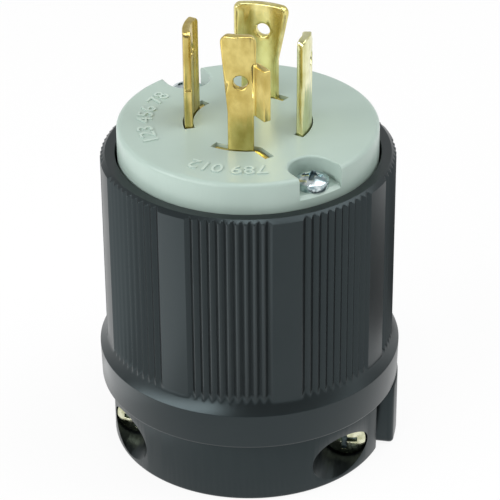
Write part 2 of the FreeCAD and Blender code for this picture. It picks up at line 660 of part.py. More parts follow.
def front_jaw():
    cutters = [cord_bore()]
    for x in (-CLAMP_SCREW_X, CLAMP_SCREW_X):
        cutters.append(clamp_hole(x))
        seat = vec(x, CLAMP_SEAT_Y, CLAMP_SCREW_HEIGHT)
        cutters.append(Part.makeCylinder(CLAMP_RECESS_DIAMETER / 2, FRONT_JAW_RADIUS, seat, vec(0, -1, 0)))
    block = rounded_block(front_block(), -FRONT_JAW_PLANE).fuse(tongue(-90))
    return block.cut(cutters).removeSplitter()


def rear_jaw():
    cutters = [cord_bore()]
    pocket_width = CLAMP_NUT_WIDTH + 2 * RUNNING_CLEARANCE
    for x in (-CLAMP_SCREW_X, CLAMP_SCREW_X):
        cutters.append(clamp_hole(x))
        pocket = hexagon(pocket_width, -REAR_JAW_RADIUS, 0)
        cutters.append(along_y(pocket, x, CLAMP_NUT_SEAT, CLAMP_SCREW_HEIGHT))
    block = rounded_block(rear_block(), -REAR_JAW_PLANE).fuse(tongue(90))
    return block.cut(cutters).removeSplitter()


def clamp_screw(x):
    reach = CLAMP_NUT_END_Y + CLAMP_SCREW_PROJECTION - CLAMP_SEAT_Y
    part = screw(CLAMP_HEAD_DIAMETER, CLAMP_HEAD_HEIGHT, CLAMP_SHANK_DIAMETER, reach)
    part = part.cut(cross_recess(CLAMP_HEAD_DIAMETER, CLAMP_HEAD_HEIGHT))
    return along_y(part, x, CLAMP_SEAT_Y, CLAMP_SCREW_HEIGHT)


def clamp_nut(x):
    nut = hexagon(CLAMP_NUT_WIDTH, -CLAMP_NUT_THICKNESS, 0)
    bore_radius = CLAMP_SHANK_DIAMETER / 2 + RUNNING_CLEARANCE / 2
    nut = nut.cut(cylinder(bore_radius, -CLAMP_NUT_THICKNESS - CUT_MARGIN, CUT_MARGIN))
    return along_y(nut, x, CLAMP_NUT_SEAT + RUNNING_CLEARANCE, CLAMP_SCREW_HEIGHT)


save("body_shell", body_shell())
save("nose_cap", nose_cap())
save("retainer_plate", retainer_plate())
save("terminal_housing", terminal_housing())
for number, (blade_name, blade_data) in enumerate(BLADES.items(), start=1):
    save(blade_name, blade_with_holes(blade_name, blade_data))
    save("terminal_screw_%d" % number, terminal_screw(blade_data["centre"]))
    save("pressure_plate_%d" % number, pressure_plate(blade_data["centre"]))
for number, screw_angle in enumerate(ASSEMBLY_SCREW_ANGLES, start=1):
    save("assembly_screw_%d" % number, assembly_screw(screw_angle))
    save("threaded_insert_%d" % number, threaded_insert(screw_angle))
save("front_jaw", front_jaw())
save("rear_jaw", rear_jaw())
for number, side in enumerate((-1, 1), start=1):
    save("clamp_screw_%d" % number, clamp_screw(side * CLAMP_SCREW_X))
    save("clamp_nut_%d" % number, clamp_nut(side * CLAMP_SCREW_X))
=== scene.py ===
# %% [markdown]
# # A locking power plug
# The plug has a fluted black shell, a grey nose with four curved brass blades, and a cord clamp
# of two jaws at the rear. Its shapes come from a CAD model that is loaded here as a fixed frame.
# This script dresses that frame: it rounds the edges, makes what repeats with Geometry Nodes,
# mixes the finishes, and sets up the studio.

import math

import bmesh
import bpy
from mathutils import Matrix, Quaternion, Vector


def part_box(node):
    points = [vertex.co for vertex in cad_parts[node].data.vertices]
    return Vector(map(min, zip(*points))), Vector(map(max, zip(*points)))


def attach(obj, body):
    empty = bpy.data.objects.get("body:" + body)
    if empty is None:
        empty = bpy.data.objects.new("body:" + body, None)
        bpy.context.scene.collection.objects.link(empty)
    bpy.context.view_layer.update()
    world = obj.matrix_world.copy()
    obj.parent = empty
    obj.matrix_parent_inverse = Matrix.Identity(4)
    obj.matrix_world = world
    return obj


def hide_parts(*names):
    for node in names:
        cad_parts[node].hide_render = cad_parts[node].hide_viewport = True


MM = 0.001
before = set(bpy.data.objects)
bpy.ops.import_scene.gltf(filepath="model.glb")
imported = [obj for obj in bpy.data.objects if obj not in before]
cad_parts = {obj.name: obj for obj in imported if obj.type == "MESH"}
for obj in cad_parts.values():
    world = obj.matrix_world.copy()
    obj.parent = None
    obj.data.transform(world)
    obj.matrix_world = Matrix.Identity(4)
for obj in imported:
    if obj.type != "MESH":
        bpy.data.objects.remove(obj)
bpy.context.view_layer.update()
print("nodes in the frame:", len(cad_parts))

# %% [markdown]
# ## The camera
# A product photograph is usually taken with a long lens from far away, which keeps the barrel's
# sides nearly parallel. The camera here stands 390 mm from the plug, about 31 degrees above
# the horizon and 11 degrees to the right. It is placed first, so that each later piece can be
# compared with the photograph. The last turn, of less than half a degree, levels the horizon.

# %% Place the camera
CAMERA_TARGET = Vector((0.165, 0.032, 32.656)) * MM
CAMERA_DISTANCE = 389.7 * MM
CAMERA_AZIMUTH = math.radians(11.0)
CAMERA_ELEVATION = math.radians(30.7)
CAMERA_ROLL = math.radians(-0.44)
CAMERA_LENS = 176.8


def make_camera():
    towards_camera = Vector((
        math.sin(CAMERA_AZIMUTH) * math.cos(CAMERA_ELEVATION),
        -math.cos(CAMERA_AZIMUTH) * math.cos(CAMERA_ELEVATION),
        math.sin(CAMERA_ELEVATION),
    ))
    data = bpy.data.cameras.new("studio_camera")
    data.lens = CAMERA_LENS
    data.clip_start = 0.01
    camera = bpy.data.objects.new("studio_camera", data)
    bpy.context.scene.collection.objects.link(camera)
    camera.location = CAMERA_TARGET + towards_camera * CAMERA_DISTANCE
    camera.rotation_mode = "QUATERNION"
    level = (-towards_camera).to_track_quat("-Z", "Y")
    camera.rotation_quaternion = level @ Quaternion((0, 0, 1), CAMERA_ROLL)
    bpy.context.scene.camera = camera
    return camera


camera = make_camera()
print("camera at", [round(value / MM) for value in camera.location], "mm")

# %% [markdown]
# ## Finishes: shared helpers
# Every finish is a Principled shader. A real surface is never one flat colour, so a noise
# pattern in Object coordinates shifts the colour, the roughness and a very shallow bump.
# Object coordinates are in metres, so the pattern's size is given in millimetres and turned
# into a scale. A value that is the same everywhere is written on the shader itself.

# %% Helpers for node trees


def connect(tree, value, socket):
    if isinstance(value, bpy.types.NodeSocket):
        tree.links.new(value, socket)
    else:
        socket.default_value = value


def shader_of(material):
    return material.node_tree.nodes["Principled BSDF"]


def new_finish(name, roughness, metallic=0.0):
    material = bpy.data.materials.new(name)
    material.use_nodes = True
    shader = shader_of(material)
    shader.inputs["Roughness"].default_value = roughness
    shader.inputs["Metallic"].default_value = metallic
    return material


def pattern(material, grain_mm, detail=4.0):
    """A noise pattern whose grain has the given size in millimetres along X, Y and Z."""
    tree = material.node_tree
    place = tree.nodes.new("ShaderNodeTexCoord")
    mapping = tree.nodes.new("ShaderNodeMapping")
    mapping.inputs["Scale"].default_value = [1 / (size * MM) for size in grain_mm]
    noise = tree.nodes.new("ShaderNodeTexNoise")
    noise.inputs["Scale"].default_value = 1.0
    noise.inputs["Detail"].default_value = detail
    tree.links.new(place.outputs["Object"], mapping.inputs["Vector"])
    tree.links.new(mapping.outputs["Vector"], noise.inputs["Vector"])
    return noise.outputs["Fac"]


def vary_colour(material, source, dark, light, start=0.25, end=0.75):
    tree = material.node_tree
    ramp = tree.nodes.new("ShaderNodeValToRGB")
    ramp.color_ramp.elements[0].position = start
    ramp.color_ramp.elements[0].color = (*dark, 1)
    ramp.color_ramp.elements[1].position = end
    ramp.color_ramp.elements[1].color = (*light, 1)
    tree.links.new(source, ramp.inputs["Fac"])
    tree.links.new(ramp.outputs["Color"], shader_of(material).inputs["Base Color"])


def vary_roughness(material, source, smooth, rough):
    tree = material.node_tree
    spread = tree.nodes.new("ShaderNodeMapRange")
    spread.inputs["From Min"].default_value = 0.25
    spread.inputs["From Max"].default_value = 0.75
    spread.inputs["To Min"].default_value = smooth
    spread.inputs["To Max"].default_value = rough
    tree.links.new(source, spread.inputs["Value"])
    tree.links.new(spread.outputs["Result"], shader_of(material).inputs["Roughness"])


def add_bump(material, source, depth_mm, strength):
    tree = material.node_tree
    bump = tree.nodes.new("ShaderNodeBump")
    bump.inputs["Strength"].default_value = strength
    bump.inputs["Distance"].default_value = depth_mm * MM
    tree.links.new(source, bump.inputs["Height"])
    tree.links.new(bump.outputs["Normal"], shader_of(material).inputs["Normal"])


print("helpers ready")

# %% [markdown]
# ## Moulded nylon, black and grey
# Both shells are injection-moulded nylon. It takes a soft sheen from the mould, so the
# roughness is middling, with a fine grain and faint cloudy patches. The same recipe serves the
# black shell, the grey nose and the inner plate and housing, each with its own two tints and
# its own range of roughness.

# %% Mix the nylons


def moulded_nylon(name, dark, light, smooth, rough, sheen_tint=(1, 1, 1)):
    material = new_finish(name, smooth)
    shader_of(material).inputs["Specular Tint"].default_value = (*sheen_tint, 1)
    clouds = pattern(material, (9, 9, 9), detail=3.0)
    grain = pattern(material, (0.16, 0.16, 0.16), detail=2.0)
    vary_colour(material, clouds, dark, light)
    vary_roughness(material, clouds, smooth, rough)
    add_bump(material, grain, 0.012, 0.25)
    return material


BLACK_NYLON = moulded_nylon(
    "black nylon", (0.006, 0.0075, 0.008), (0.0085, 0.0105, 0.011), 0.28, 0.34, (0.70, 0.89, 0.94))
GREY_NYLON = moulded_nylon(
    "grey nylon", (0.36, 0.458, 0.41), (0.39, 0.49, 0.44), 0.28, 0.33)
# The raised numbers get a lighter grey nylon, which is a painted highlight on their tops.
PAINTED_HIGHLIGHT_NYLON = moulded_nylon(
    "grey nylon with painted highlight", (0.44, 0.545, 0.49), (0.48, 0.585, 0.53), 0.30, 0.38)
WHITE_NYLON = moulded_nylon(
    "white nylon", (0.66, 0.66, 0.62), (0.72, 0.72, 0.68), 0.40, 0.50)
FIBRE = moulded_nylon(
    "pressed fibre", (0.02, 0.02, 0.022), (0.035, 0.034, 0.034), 0.55, 0.7)
print("nylons:", [m.name for m in (BLACK_NYLON, GREY_NYLON, PAINTED_HIGHLIGHT_NYLON, WHITE_NYLON, FIBRE)])

# %% [markdown]
# ## Brass and zinc
# The blades are rolled and coined brass strip, pale and a little green. The strip was rolled
# along its length, so a faint noise is stretched into streaks that run up the blade. The brass
# comes in three shades: a plain one, a lighter one on the wide blade and a pale one on the
# right blade; the lighter and the pale shade are painted light. The screws are steel with
# bright zinc, which is smoother in places. The clamp's screws have a yellower zinc. The faces
# in a driver's recess get a darker zinc, which is painted shade.

# %% Mix the metals


def brushed_brass(name, dark, light):
    material = new_finish(name, 0.28, metallic=1.0)
    streaks = pattern(material, (0.4, 0.4, 5.0), detail=3.0)
    patches = pattern(material, (2.2, 2.2, 3.2), detail=4.0)
    vary_colour(material, patches, dark, light, 0.3, 0.7)
    vary_roughness(material, streaks, 0.20, 0.27)
    add_bump(material, streaks, 0.004, 0.12)
    return material


def bright_zinc(name, dark, light):
    material = new_finish(name, 0.22, metallic=1.0)
    patches = pattern(material, (1.2, 1.2, 1.2), detail=4.0)
    vary_colour(material, patches, dark, light, 0.4, 0.6)
    vary_roughness(material, patches, 0.14, 0.27)
    add_bump(material, patches, 0.01, 0.2)
    return material


# The recess's darker zinc is painted shade.
def make_painted_shade_zinc():
    material = new_finish("zinc with painted shade", 0.35, metallic=1.0)
    patches = pattern(material, (0.5, 0.5, 0.5))
    vary_colour(material, patches, (0.10, 0.14, 0.15), (0.25, 0.32, 0.34))
    return material


BRASS = brushed_brass("brushed brass", (0.50, 0.38, 0.10), (0.77, 0.64, 0.235))
# The next two brasses are painted light: lighter copies of the plain brass for blades that catch
# more light.
BRASS_PAINTED_LIGHT = brushed_brass("brass with painted light", (0.64, 0.54, 0.17), (0.92, 0.85, 0.38))
BRASS_MORE_PAINTED_LIGHT = brushed_brass("brass with more painted light", (0.70, 0.68, 0.34), (0.95, 0.95, 0.63))
ZINC = bright_zinc("bright zinc", (0.26, 0.35, 0.37), (0.70, 0.78, 0.79))
YELLOW_ZINC = bright_zinc("yellow zinc", (0.50, 0.51, 0.33), (0.76, 0.77, 0.57))
PAINTED_SHADE_ZINC = make_painted_shade_zinc()
print("metals:", [m.name for m in (BRASS, BRASS_PAINTED_LIGHT, BRASS_MORE_PAINTED_LIGHT, ZINC, YELLOW_ZINC, PAINTED_SHADE_ZINC)])

# %% [markdown]
# ## Rounded edges on the CAD solids
# No moulded or stamped edge is perfectly sharp, and a rounded edge catches a thin line of
# light that a sharp one can't. A CAD node's own mesh is never changed, so each piece is a
# merged copy of it. Triangles that lie in one plane are dissolved, and a Bevel modifier then
# rounds the edges that are left. The result is kept as a plain mesh that replaces the node.
#
# The modifier's clamp narrows a rounding where short edges crowd a corner. The jaws and screws
# need it, so their roundings are very narrow. The blades come out clean without it. On the
# nose and the shell only some edges are rounded here, so these are marked by weight.

# %% Make rounded copies
SHARP_ANGLE = math.radians(25)
PLANE_ANGLE = math.radians(0.8)
MERGE_DISTANCE = 0.0005 * MM
SLIVER_LENGTH = 0.03 * MM
NOSE_EDGE_MM = 0.4
NOSE_EDGE_SEGMENTS = 3
JAW_EDGE_MM = 0.3
BLADE_EDGE_MM = 0.2
HEAD_EDGE_MM = 0.07
FACE_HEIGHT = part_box("nose_cap")[1].z
BLADE_RING_RADIUS = 13 * MM
RECESS_DEPTH = (0.42 * MM, 1.05 * MM)
RECESS_REACH = 0.34
BLADE_FINISHES = {
    "line_blade_left": BRASS,
    "ground_blade": BRASS,
    "neutral_blade": BRASS_PAINTED_LIGHT,
    "line_blade_right": BRASS_MORE_PAINTED_LIGHT,
}
SCREWS = (
    ("assembly_screw", ZINC, Vector((0, 0, 1))),
    ("clamp_screw", YELLOW_ZINC, Vector((0, -1, 0))),
)


def plain_mesh(piece):
    """Turns a piece with modifiers into a plain mesh with none."""
    graph = bpy.context.evaluated_depsgraph_get()
    mesh = bpy.data.meshes.new_from_object(piece.evaluated_get(graph))
    piece.modifiers.clear()
    piece.data = mesh
    return piece


def new_piece(name, mesh):
    piece = bpy.data.objects.new(name, mesh)
    bpy.context.scene.collection.objects.link(piece)
    return piece


def merged_copy(node):
    solid = bmesh.new()
    solid.from_mesh(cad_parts[node].data)
    bmesh.ops.remove_doubles(solid, verts=solid.verts, dist=SLIVER_LENGTH)
    bmesh.ops.dissolve_limit(
        solid, angle_limit=PLANE_ANGLE, verts=solid.verts, edges=solid.edges)
    mesh = bpy.data.meshes.new(node)
    solid.to_mesh(mesh)
    solid.free()
    return mesh


def dress(piece, slot, *nodes):
    """The piece rides on the plug's one body and stands for its CAD nodes."""
    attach(piece, "root")
    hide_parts(*nodes)
    return piece


def rounded_copy(node, edge_mm, material, slot, clamp=True):
    """The clamp narrows the rounding where short edges crowd a corner, so that none cross."""
    piece = new_piece(node + "_finished", merged_copy(node))
    piece.data.materials.clear()
    piece.data.materials.append(material)
    piece.data.shade_smooth()
    bevel = piece.modifiers.new("rounded edges", "BEVEL")
    bevel.width = edge_mm * MM
    bevel.segments = 2
    bevel.limit_method = "ANGLE"
    bevel.angle_limit = SHARP_ANGLE
    bevel.use_clamp_overlap = clamp
    bevel.harden_normals = True
    plain_mesh(piece)
    return dress(piece, slot, node)


def mark_edges(solid, wanted):
    """Marks the edges for a rounding by weight, and keeps the other sharp edges sharp."""
    weight = solid.edges.layers.float.new("bevel_weight_edge")
    for edge in solid.edges:
        edge.smooth = edge.calc_face_angle(0) < SHARP_ANGLE
        edge[weight] = wanted(edge)
    return sum(edge[weight] > 0 for edge in solid.edges)


def round_marked_edges(piece, edge_mm, segments=2):
    bevel = piece.modifiers.new("marked edges", "BEVEL")
    bevel.width = edge_mm * MM
    bevel.segments = segments
    bevel.limit_method = "WEIGHT"
    bevel.use_clamp_overlap = False
    bevel.harden_normals = True
    return plain_mesh(piece)


def is_pocket_rim(edge):
    """The sharp edges of the nose's face that lie outside the ring of blades."""
    return edge.calc_face_angle(0) > SHARP_ANGLE and all(
        v.co.z > FACE_HEIGHT - MERGE_DISTANCE and v.co.xy.length > BLADE_RING_RADIUS
        for v in edge.verts)


def rounded_nose():
    """The nose's outer edge is round in the solid. Its screw pockets get their soft rims here."""
    solid = bmesh.new()
    solid.from_mesh(merged_copy("nose_cap"))
    print("pocket rim edges:", mark_edges(solid, is_pocket_rim))
    piece = new_piece("nose_cap_finished", bpy.data.meshes.new("nose_cap_finished"))
    solid.to_mesh(piece.data)
    solid.free()
    piece.data.materials.clear()
    piece.data.materials.append(GREY_NYLON)
    round_marked_edges(piece, NOSE_EDGE_MM, NOSE_EDGE_SEGMENTS)
    return dress(piece, "grey_nylon", "nose_cap")


def darken_recess(screw, node, head_end):
    """Gives the faces inside the driver's recess the darker zinc, which is painted shade.

    head_end points out of the head, along the screw.
    """
    low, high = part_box(node)
    size = high - low
    middle = (low + high) / 2
    along = abs(size.dot(head_end))
    head_size = max(size[i] for i in range(3) if abs(head_end[i]) < 0.5)
    screw.data.materials.append(PAINTED_SHADE_ZINC)
    darkened = 0
    for face in screw.data.polygons:
        offset = face.center - middle
        depth = along / 2 - offset.dot(head_end)
        reach = (offset - head_end * offset.dot(head_end)).length
        if RECESS_DEPTH[0] < depth < RECESS_DEPTH[1] and reach < RECESS_REACH * head_size:
            face.material_index = 1
            darkened += 1
    return darkened


nose = rounded_nose()
for jaw in ("front_jaw", "rear_jaw"):
    rounded_copy(jaw, JAW_EDGE_MM, BLACK_NYLON, "black_nylon")
for blade, brass in BLADE_FINISHES.items():
    rounded_copy(blade, BLADE_EDGE_MM, brass, "brass", clamp=False)
for kind, zinc, head_end in SCREWS:
    for number in (1, 2):
        node = "%s_%d" % (kind, number)
        screw = rounded_copy(node, HEAD_EDGE_MM, zinc, "zinc_steel")
        print(node, "recess faces:", darken_recess(screw, node, head_end))
print("nose faces:", len(nose.data.polygons))

# %% [markdown]
# ## The fluted grip
# The barrel is a cylinder with eight bays of ten V grooves and a plain flat between bays. At
# the bottom it flares out to a flange, and the grooves run out where they meet the flare.
# That is a surface with a rule: for each angle and height there is one radius. Geometry Nodes
# can work the rule out on a grid of points. One grid makes one bay, and the bay is instanced
# eight times round the axis and merged. Each size below is a named input of the tree. The
# grooves are a little shallower than the solid's, because wear and moulding soften them.

# %% Sizes of the grip
RIM_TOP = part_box("body_shell")[1].z
FLANGE_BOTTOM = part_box("body_shell")[0].z
FLANGE_TOP = FLANGE_BOTTOM + 6.0 * MM
FLANGE_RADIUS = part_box("body_shell")[1].x
BARREL_RADIUS = 22.975 * MM
FLUTE_DEPTH = 0.62 * MM
GROOVE_DEPTH = 0.5 * MM
FLUTE_PITCH_DEGREES = 3.35
FLUTES_PER_BAY = 10
BAYS = 8
FLAT_PHASE_DEGREES = -64.4
BAY_CENTRE_DEGREES = FLAT_PHASE_DEGREES + 180 / BAYS
FIRST_FLUTE = math.radians(BAY_CENTRE_DEGREES - FLUTE_PITCH_DEGREES * FLUTES_PER_BAY / 2)
POINTS_PER_FLUTE = 8
POINTS_PER_FLAT = 8
ROWS = 76
TIP_HEIGHT = FLANGE_TOP + 1.7 * MM
RUN_OUT_HEIGHT = TIP_HEIGHT + 1.3 * MM
RIM_CHAMFER_HEIGHT = 0.6 * MM
RIM_CHAMFER_WIDTH = 0.75 * MM


def circle_through(a, b, c):
    """Centre and radius of the circle through three points given as (radius, height)."""
    ax, ay = a
    bx, by = b
    cx, cy = c
    scale = 2 * (ax * (by - cy) + bx * (cy - ay) + cx * (ay - by))
    a2, b2, c2 = (x * x + y * y for x, y in (a, b, c))
    x = (a2 * (by - cy) + b2 * (cy - ay) + c2 * (ay - by)) / scale
    y = (a2 * (cx - bx) + b2 * (ax - cx) + c2 * (bx - ax)) / scale
    return x, y, math.hypot(ax - x, ay - y)


FLARE = circle_through(
    (BARREL_RADIUS - FLUTE_DEPTH, RUN_OUT_HEIGHT),
    (BARREL_RADIUS, TIP_HEIGHT),
    (FLANGE_RADIUS, FLANGE_TOP),
)
print("flare radius in mm:", round(FLARE[2] / MM, 2))
print("its centre in mm:", [round(value / MM, 2) for value in FLARE[:2]])

# %% Helpers for Geometry Nodes


def new_tree(name, inputs):
    """A Geometry Nodes tree with one output and the named inputs: (label, socket type, value)."""
    tree = bpy.data.node_groups.new(name, "GeometryNodeTree")
    tree.interface.new_socket(name="Geometry", in_out="OUTPUT", socket_type="NodeSocketGeometry")
    for label, kind, value in inputs:
        tree.interface.new_socket(name=label, in_out="INPUT", socket_type=kind)
    return tree


def apply_tree(name, tree, inputs):
    """Runs a tree on an empty mesh with its inputs set, and keeps the result as a plain mesh."""
    piece = new_piece(name, bpy.data.meshes.new(name))
    modifier = piece.modifiers.new(tree.name, "NODES")
    modifier.node_group = tree
    identifiers = {
        item.name: item.identifier
        for item in tree.interface.items_tree
        if item.in_out == "INPUT"
    }
    for label, kind, value in inputs:
        modifier[identifiers[label]] = value
    return plain_mesh(piece)


def calculate(tree, operation, *values):
    node = tree.nodes.new("ShaderNodeMath")
    node.operation = operation
    for value, socket in zip(values, node.inputs):
        connect(tree, value, socket)
    return node.outputs[0]


def join_xyz(tree, x, y, z):
    node = tree.nodes.new("ShaderNodeCombineXYZ")
    for value, socket in zip((x, y, z), node.inputs):
        connect(tree, value, socket)
    return node.outputs[0]


def add_node(tree, kind, **sockets):
    node = tree.nodes.new(kind)
    for label, value in sockets.items():
        connect(tree, value, node.inputs[label.replace("_", " ")])
    return node


print("Geometry Nodes helpers ready")

# %% Build the grip's tree
GRIP_INPUTS = (
    ("Barrel Radius", "NodeSocketFloat", BARREL_RADIUS),
    ("Groove Depth", "NodeSocketFloat", GROOVE_DEPTH),
    ("Flute Pitch", "NodeSocketFloat", math.radians(FLUTE_PITCH_DEGREES)),
    ("Flutes", "NodeSocketInt", FLUTES_PER_BAY),
    ("Points per Flute", "NodeSocketInt", POINTS_PER_FLUTE),
    ("Points per Flat", "NodeSocketInt", POINTS_PER_FLAT),
    ("Bays", "NodeSocketInt", BAYS),
    ("First Flute", "NodeSocketFloat", FIRST_FLUTE),
    ("Rows", "NodeSocketInt", ROWS),
    ("Bottom", "NodeSocketFloat", FLANGE_TOP),
    ("Top", "NodeSocketFloat", RIM_TOP),
    ("Flare Centre Radius", "NodeSocketFloat", FLARE[0]),
    ("Flare Centre Height", "NodeSocketFloat", FLARE[1]),
    ("Flare Arc Radius", "NodeSocketFloat", FLARE[2]),
    ("Chamfer Height", "NodeSocketFloat", RIM_CHAMFER_HEIGHT),
    ("Chamfer Width", "NodeSocketFloat", RIM_CHAMFER_WIDTH),
    ("Material", "NodeSocketMaterial", BLACK_NYLON),
)


def groove_radius(tree, size, column, flute_columns):
    """The barrel's radius at a column: a V groove with softened root and crests."""
    within = calculate(tree, "MINIMUM", column, flute_columns)
    turns = calculate(tree, "DIVIDE", within, size["Points per Flute"])
    part = calculate(tree, "FRACT", turns)
    straight = calculate(
        tree, "SUBTRACT", 1.0,
        calculate(tree, "MULTIPLY", 2.0, calculate(
            tree, "ABSOLUTE", calculate(tree, "SUBTRACT", part, 0.5))))
    wave = calculate(
        tree, "MULTIPLY_ADD",
        calculate(tree, "COSINE", calculate(tree, "MULTIPLY", part, 2 * math.pi)), -0.5, 0.5)
    share = calculate(
        tree, "MULTIPLY", 0.5, calculate(tree, "ADD", straight, wave))
    cut = calculate(tree, "MULTIPLY", share, size["Groove Depth"])
    return calculate(tree, "SUBTRACT", size["Barrel Radius"], cut)


def column_angle(tree, size, column, flute_columns):
    bay_angle = calculate(tree, "DIVIDE", 2 * math.pi, size["Bays"])
    fluted = calculate(tree, "MULTIPLY", size["Flutes"], size["Flute Pitch"])
    flat = calculate(tree, "SUBTRACT", bay_angle, fluted)
    in_flutes = calculate(tree, "MINIMUM", column, flute_columns)
    in_flat = calculate(tree, "SUBTRACT", column, in_flutes)
    turned = calculate(
        tree, "DIVIDE", calculate(tree, "MULTIPLY", in_flutes, size["Flute Pitch"]),
        size["Points per Flute"])
    rest = calculate(
        tree, "DIVIDE", calculate(tree, "MULTIPLY", in_flat, flat), size["Points per Flat"])
    return calculate(
        tree, "ADD", size["First Flute"], calculate(tree, "ADD", turned, rest))


def flare_radius(tree, size, height):
    low = calculate(tree, "MINIMUM", height, size["Flare Centre Height"])
    rise = calculate(tree, "SUBTRACT", size["Flare Centre Height"], low)
    squares = calculate(
        tree, "SUBTRACT",
        calculate(tree, "POWER", size["Flare Arc Radius"], 2.0),
        calculate(tree, "POWER", rise, 2.0))
    return calculate(
        tree, "SUBTRACT", size["Flare Centre Radius"], calculate(tree, "SQRT", squares))


def rim_radius(tree, size, height):
    start = calculate(tree, "SUBTRACT", size["Top"], size["Chamfer Height"])
    above = calculate(tree, "MAXIMUM", 0.0, calculate(tree, "SUBTRACT", height, start))
    slope = calculate(tree, "DIVIDE", size["Chamfer Width"], size["Chamfer Height"])
    return calculate(
        tree, "SUBTRACT", size["Barrel Radius"], calculate(tree, "MULTIPLY", above, slope))


def row_height(tree, size, share):
    """Rows lie closer together near the flare and the rim, where the shape changes."""
    eased = calculate(
        tree, "MULTIPLY", calculate(tree, "POWER", share, 2.0),
        calculate(tree, "SUBTRACT", 3.0, calculate(tree, "MULTIPLY", 2.0, share)))
    span = calculate(tree, "SUBTRACT", size["Top"], size["Bottom"])
    return calculate(tree, "ADD", size["Bottom"], calculate(tree, "MULTIPLY", eased, span))


def fluted_grip_tree():
    tree = new_tree("fluted grip", GRIP_INPUTS)
    size = tree.nodes.new("NodeGroupInput").outputs
    flute_columns = calculate(tree, "MULTIPLY", size["Flutes"], size["Points per Flute"])
    columns = calculate(tree, "ADD", flute_columns, size["Points per Flat"])
    grid = add_node(
        tree, "GeometryNodeMeshGrid", Size_X=1.0, Size_Y=1.0,
        Vertices_X=calculate(tree, "ADD", columns, 1.0), Vertices_Y=size["Rows"])
    place = tree.nodes.new("ShaderNodeSeparateXYZ")
    tree.links.new(tree.nodes.new("GeometryNodeInputPosition").outputs[0], place.inputs[0])
    column = calculate(
        tree, "ROUND", calculate(
            tree, "MULTIPLY", calculate(tree, "ADD", place.outputs["X"], 0.5), columns))
    height = row_height(tree, size, calculate(tree, "ADD", place.outputs["Y"], 0.5))
    barrel = calculate(
        tree, "MINIMUM", groove_radius(tree, size, column, flute_columns),
        rim_radius(tree, size, height))
    radius = calculate(tree, "MAXIMUM", barrel, flare_radius(tree, size, height))
    angle = column_angle(tree, size, column, flute_columns)
    wrapped = add_node(
        tree, "GeometryNodeSetPosition", Geometry=grid.outputs["Mesh"],
        Position=join_xyz(
            tree,
            calculate(tree, "MULTIPLY", radius, calculate(tree, "COSINE", angle)),
            calculate(tree, "MULTIPLY", radius, calculate(tree, "SINE", angle)),
            height))
    bay_angle = calculate(tree, "DIVIDE", 2 * math.pi, size["Bays"])
    turn = calculate(
        tree, "MULTIPLY", tree.nodes.new("GeometryNodeInputIndex").outputs[0], bay_angle)
    points = add_node(tree, "GeometryNodePoints", Count=size["Bays"])
    ring = add_node(
        tree, "GeometryNodeInstanceOnPoints", Points=points.outputs[0],
        Instance=wrapped.outputs[0], Rotation=join_xyz(tree, 0.0, 0.0, turn))
    real = add_node(tree, "GeometryNodeRealizeInstances", Geometry=ring.outputs[0])
    merged = add_node(
        tree, "GeometryNodeMergeByDistance", Geometry=real.outputs[0], Distance=MERGE_DISTANCE)
    smooth = add_node(tree, "GeometryNodeSetShadeSmooth", Geometry=merged.outputs[0])
    coloured = add_node(
        tree, "GeometryNodeSetMaterial", Geometry=smooth.outputs[0], Material=size["Material"])
    tree.links.new(coloured.outputs[0], tree.nodes.new("NodeGroupOutput").inputs[0])
    return tree


shell = apply_tree("body_shell_finished", fluted_grip_tree(), GRIP_INPUTS)
print("fluted skin faces:", len(shell.data.polygons))

# %% [markdown]
# ## Closing the shell
# The fluted skin has an open circle at its rim and another at the flange's top edge. The rest
# of the shell is turned: flange, rear opening, floor, bore and the ledge below the nose. So the
# rim's edge is extruded again and again round that outline until it meets the other circle.
# Corners of the outline are rounded first, so that they catch the light as moulded ones do.

# %% Round an outline's corners
BORE_RADIUS = 20.65 * MM
LEDGE_HEIGHT = 45.4 * MM
CAVITY_RADIUS = 19.4 * MM
FLOOR_HEIGHT = 14.6 * MM
OPENING_RADIUS = 14.2 * MM
FLANGE_LOWER_RADIUS = FLANGE_RADIUS - 0.15 * MM
FLANGE_EDGE_MM = 0.14
CORNER_STEPS = 4


def rounded_corner(before, corner, after, radius):
    """Points on a curve that cuts the corner, starting and ending at the given distance."""
    first = corner + (before - corner).normalized() * radius
    last = corner + (after - corner).normalized() * radius
    points = []
    for i in range(CORNER_STEPS + 1):
        t = i / CORNER_STEPS
        points.append(first.lerp(corner, t).lerp(corner.lerp(last, t), t))
    return points


def rounded_outline(corners):
    """Takes (radius, height, rounding) for each corner; the first and last stay as they are."""
    places = [Vector((radius, height)) for radius, height, rounding in corners]
    outline = [places[0]]
    for i in range(1, len(corners) - 1):
        rounding = corners[i][2]
        if rounding:
            outline += rounded_corner(places[i - 1], places[i], places[i + 1], rounding)
        else:
            outline.append(places[i])
    return outline + [places[-1]]


SHELL_OUTLINE = rounded_outline([
    (BARREL_RADIUS - RIM_CHAMFER_WIDTH, RIM_TOP, 0),
    (BORE_RADIUS, RIM_TOP, 0.15 * MM),
    (BORE_RADIUS, LEDGE_HEIGHT, 0),
    (CAVITY_RADIUS, LEDGE_HEIGHT, 0),
    (CAVITY_RADIUS, FLOOR_HEIGHT, 0),
    (OPENING_RADIUS, FLOOR_HEIGHT, 0),
    (OPENING_RADIUS, FLANGE_BOTTOM, 0.2 * MM),
    (FLANGE_LOWER_RADIUS, FLANGE_BOTTOM, 0.45 * MM),
    (FLANGE_RADIUS, FLANGE_TOP, 0),
])
print("outline points:", len(SHELL_OUTLINE))

# %% Extrude the rim round the outline


